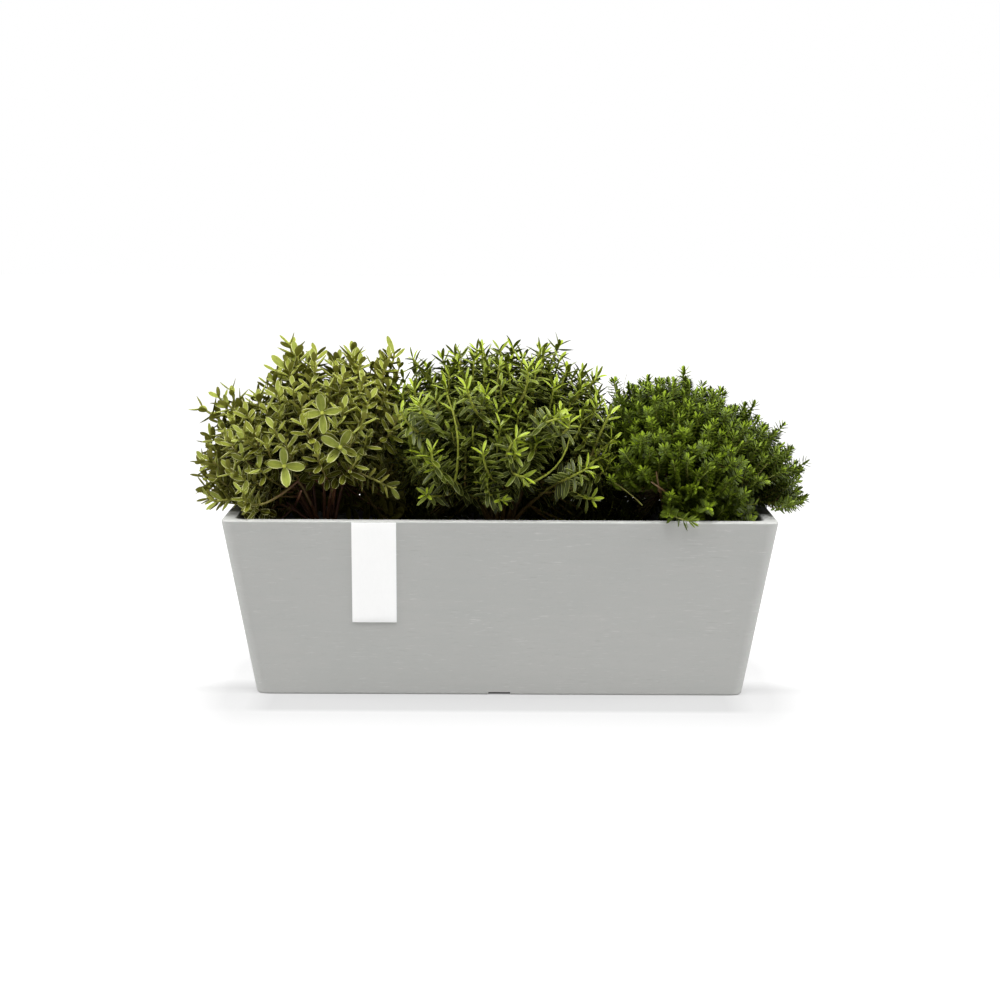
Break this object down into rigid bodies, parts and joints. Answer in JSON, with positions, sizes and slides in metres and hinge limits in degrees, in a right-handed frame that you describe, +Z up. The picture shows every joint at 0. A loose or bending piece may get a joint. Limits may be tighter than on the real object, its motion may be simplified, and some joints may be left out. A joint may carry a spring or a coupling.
{
  "type": "planted trough",
  "caption": "Long tapered plant trough with a thick rim, drain stoppers and a card label, filled with soil and planted with small evergreen shrubs that lift out.",
  "frame": {"origin": "middle of the trough's foot, on the ground, at the round pad under its floor", "axes": "+X along the trough to the right seen from the front, -Y the front with the label, +Z up"},
  "size_m": [0.6412, 0.2058, 0.3622],
  "materials": {
    "trough_plastic": "matt light grey stone-filled plastic, faintly brushed and specked",
    "stopper_rubber": "smooth black rubber",
    "label_card": "matt white card, bare",
    "soil": "moist dark brown potting mix",
    "root_ball": "dark soil held by fine roots",
    "left_bark": "red-brown twigs, yellow-green near their tips",
    "middle_bark": "brown twigs, yellow-green near their tips",
    "right_bark": "thin brown twigs",
    "left_leaves": "satin grey-green oval leaves with a thin cream edge",
    "middle_leaves": "glossy dark green narrow leaves, yellow-green at the tips",
    "right_leaves": "satin deep green small leaves, brighter at the tips"
  },
  "bodies": {
    "trough": {"trough": "trough_plastic"},
    "left_stopper": {"drain_stopper_left": "stopper_rubber"},
    "right_stopper": {"drain_stopper_right": "stopper_rubber"},
    "label": {"card_label": "label_card"},
    "soil": {"potting_soil": "soil"},
    "left_shrub": {"left_root_ball": "root_ball", "left_stems": "left_bark", "left_shoot_01": "left_leaves", "left_shoot_02": "left_leaves", "left_shoot_03": "left_leaves", "left_shoot_04": "left_leaves", "left_shoot_05": "left_leaves", "left_shoot_06": "left_leaves", "left_shoot_07": "left_leaves", "left_shoot_08": "left_leaves", "left_shoot_09": "left_leaves", "left_shoot_10": "left_leaves", "left_shoot_11": "left_leaves", "left_shoot_12": "left_leaves", "left_shoot_13": "left_leaves", "left_shoot_14": "left_leaves"},
    "middle_shrub": {"middle_root_ball": "root_ball", "middle_stems": "middle_bark", "middle_shoot_01": "middle_leaves", "middle_shoot_02": "middle_leaves", "middle_shoot_03": "middle_leaves", "middle_shoot_04": "middle_leaves", "middle_shoot_05": "middle_leaves", "middle_shoot_06": "middle_leaves", "middle_shoot_07": "middle_leaves", "middle_shoot_08": "middle_leaves", "middle_shoot_09": "middle_leaves", "middle_shoot_10": "middle_leaves", "middle_shoot_11": "middle_leaves", "middle_shoot_12": "middle_leaves", "middle_shoot_13": "middle_leaves", "middle_shoot_14": "middle_leaves", "middle_shoot_15": "middle_leaves"},
    "right_shrub": {"right_root_ball": "root_ball", "right_stems": "right_bark", "right_shoot_01": "right_leaves", "right_shoot_02": "right_leaves", "right_shoot_03": "right_leaves", "right_shoot_04": "right_leaves", "right_shoot_05": "right_leaves", "right_shoot_06": "right_leaves", "right_shoot_07": "right_leaves", "right_shoot_08": "right_leaves", "right_shoot_09": "right_leaves", "right_shoot_10": "right_leaves", "right_shoot_11": "right_leaves", "right_shoot_12": "right_leaves", "right_shoot_13": "right_leaves", "right_shoot_14": "right_leaves", "right_shoot_15": "right_leaves", "right_shoot_16": "right_leaves"}
  },
  "joints": [
    {"name": "label_slide", "type": "slide", "parent": "trough", "child": "label", "axis": [0, -0.1445, 0.9895], "range_m": [0, 0.11]},
    {"name": "left_stopper_pull", "type": "slide", "parent": "trough", "child": "left_stopper", "axis": [0, 0, -1], "range_m": [0, 0.02]},
    {"name": "right_stopper_pull", "type": "slide", "parent": "trough", "child": "right_stopper", "axis": [0, 0, -1], "range_m": [0, 0.02]},
    {"name": "soil_lift", "type": "slide", "parent": "trough", "child": "soil", "axis": [0, 0, 1], "range_m": [0, 0.17]},
    {"name": "left_shrub_lift", "type": "slide", "parent": "soil", "child": "left_shrub", "axis": [0, 0, 1], "range_m": [0, 0.1]},
    {"name": "middle_shrub_lift", "type": "slide", "parent": "soil", "child": "middle_shrub", "axis": [0, 0, 1], "range_m": [0, 0.1]},
    {"name": "right_shrub_lift", "type": "slide", "parent": "soil", "child": "right_shrub", "axis": [0, 0, 1], "range_m": [0, 0.1]}
  ]
}
